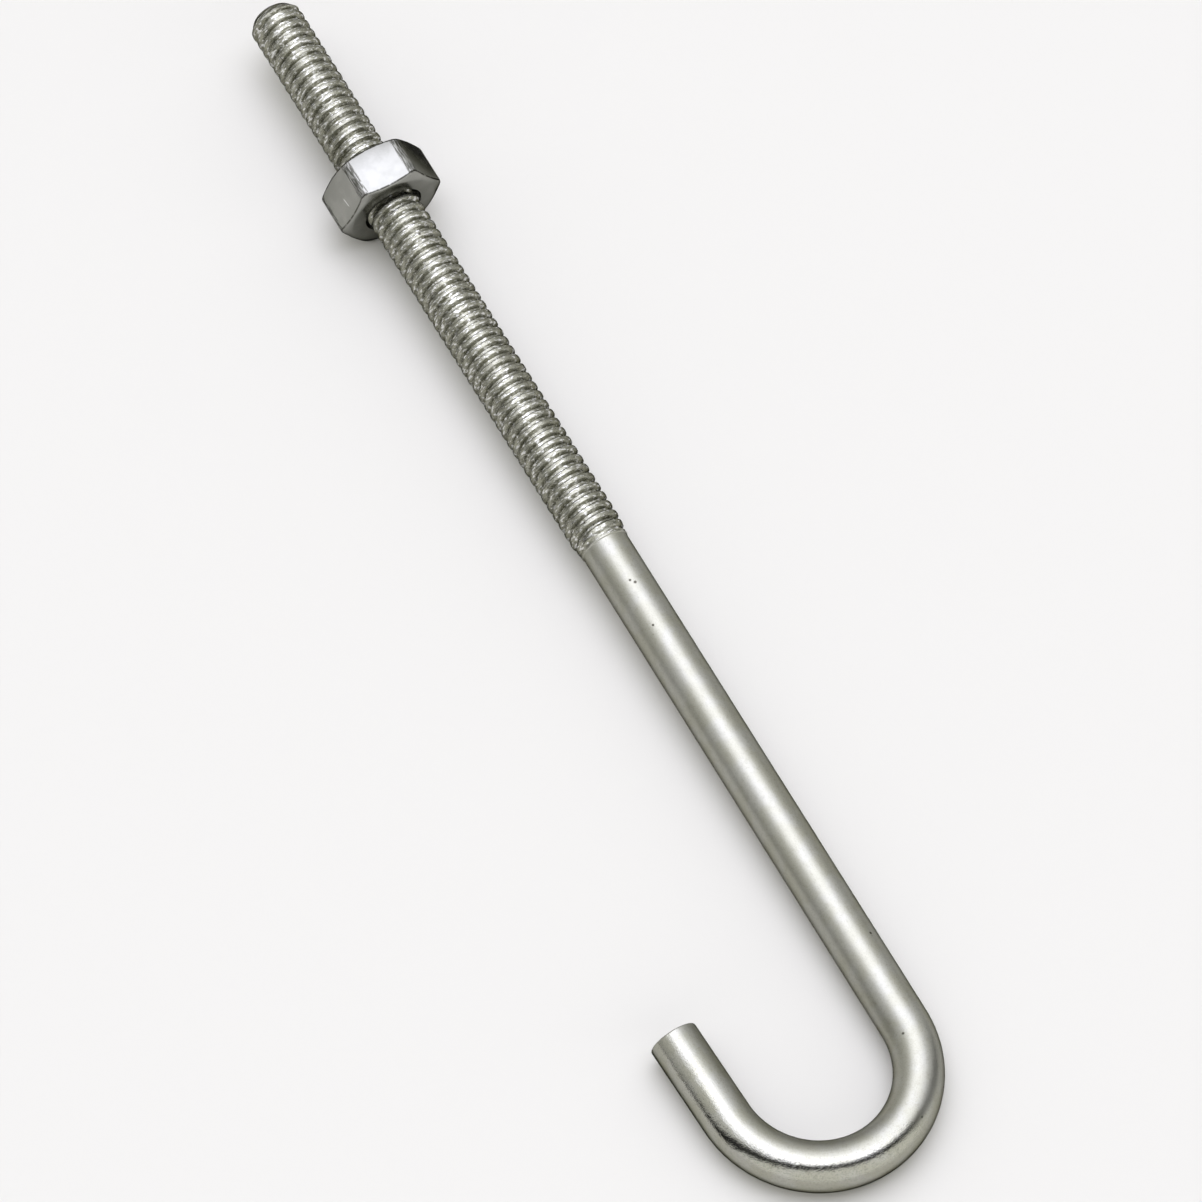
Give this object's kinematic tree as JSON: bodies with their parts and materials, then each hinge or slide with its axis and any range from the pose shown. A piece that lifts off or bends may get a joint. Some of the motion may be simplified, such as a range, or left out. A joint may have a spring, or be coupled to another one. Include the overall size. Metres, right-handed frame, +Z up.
{
  "type": "j-bolt with hex nut",
  "caption": "Zinc-plated J-bolt: a long round rod threaded over about half the overall length, bent into an open hook at the far end, with a hex nut run onto the thread.",
  "frame": {"origin": "bottom centre of the box round the whole thing, on the surface that it lies on", "axes": "+X along the rod from the thread end to the hook, +Z up; the rod dips 1.47 degrees towards the hook because nut and hook rest on the same surface, and the hook turns towards -Y"},
  "size_m": [0.1524, 0.0312, 0.0118],
  "materials": {
    "bolt_zinc": "bright zinc plate over drawn and rolled steel wire, satin",
    "nut_zinc": "bright zinc plate over cold-formed steel, smooth flats"
  },
  "bodies": {
    "bolt": {"j_bolt": "bolt_zinc"},
    "nut": {"hex_nut": "nut_zinc"}
  },
  "joints": [
    {"name": "nut_travel", "type": "slide", "parent": "bolt", "child": "nut", "axis": [0.9997, 0, -0.0257], "range_m": [-0.02032, 0.04572]}
  ]
}
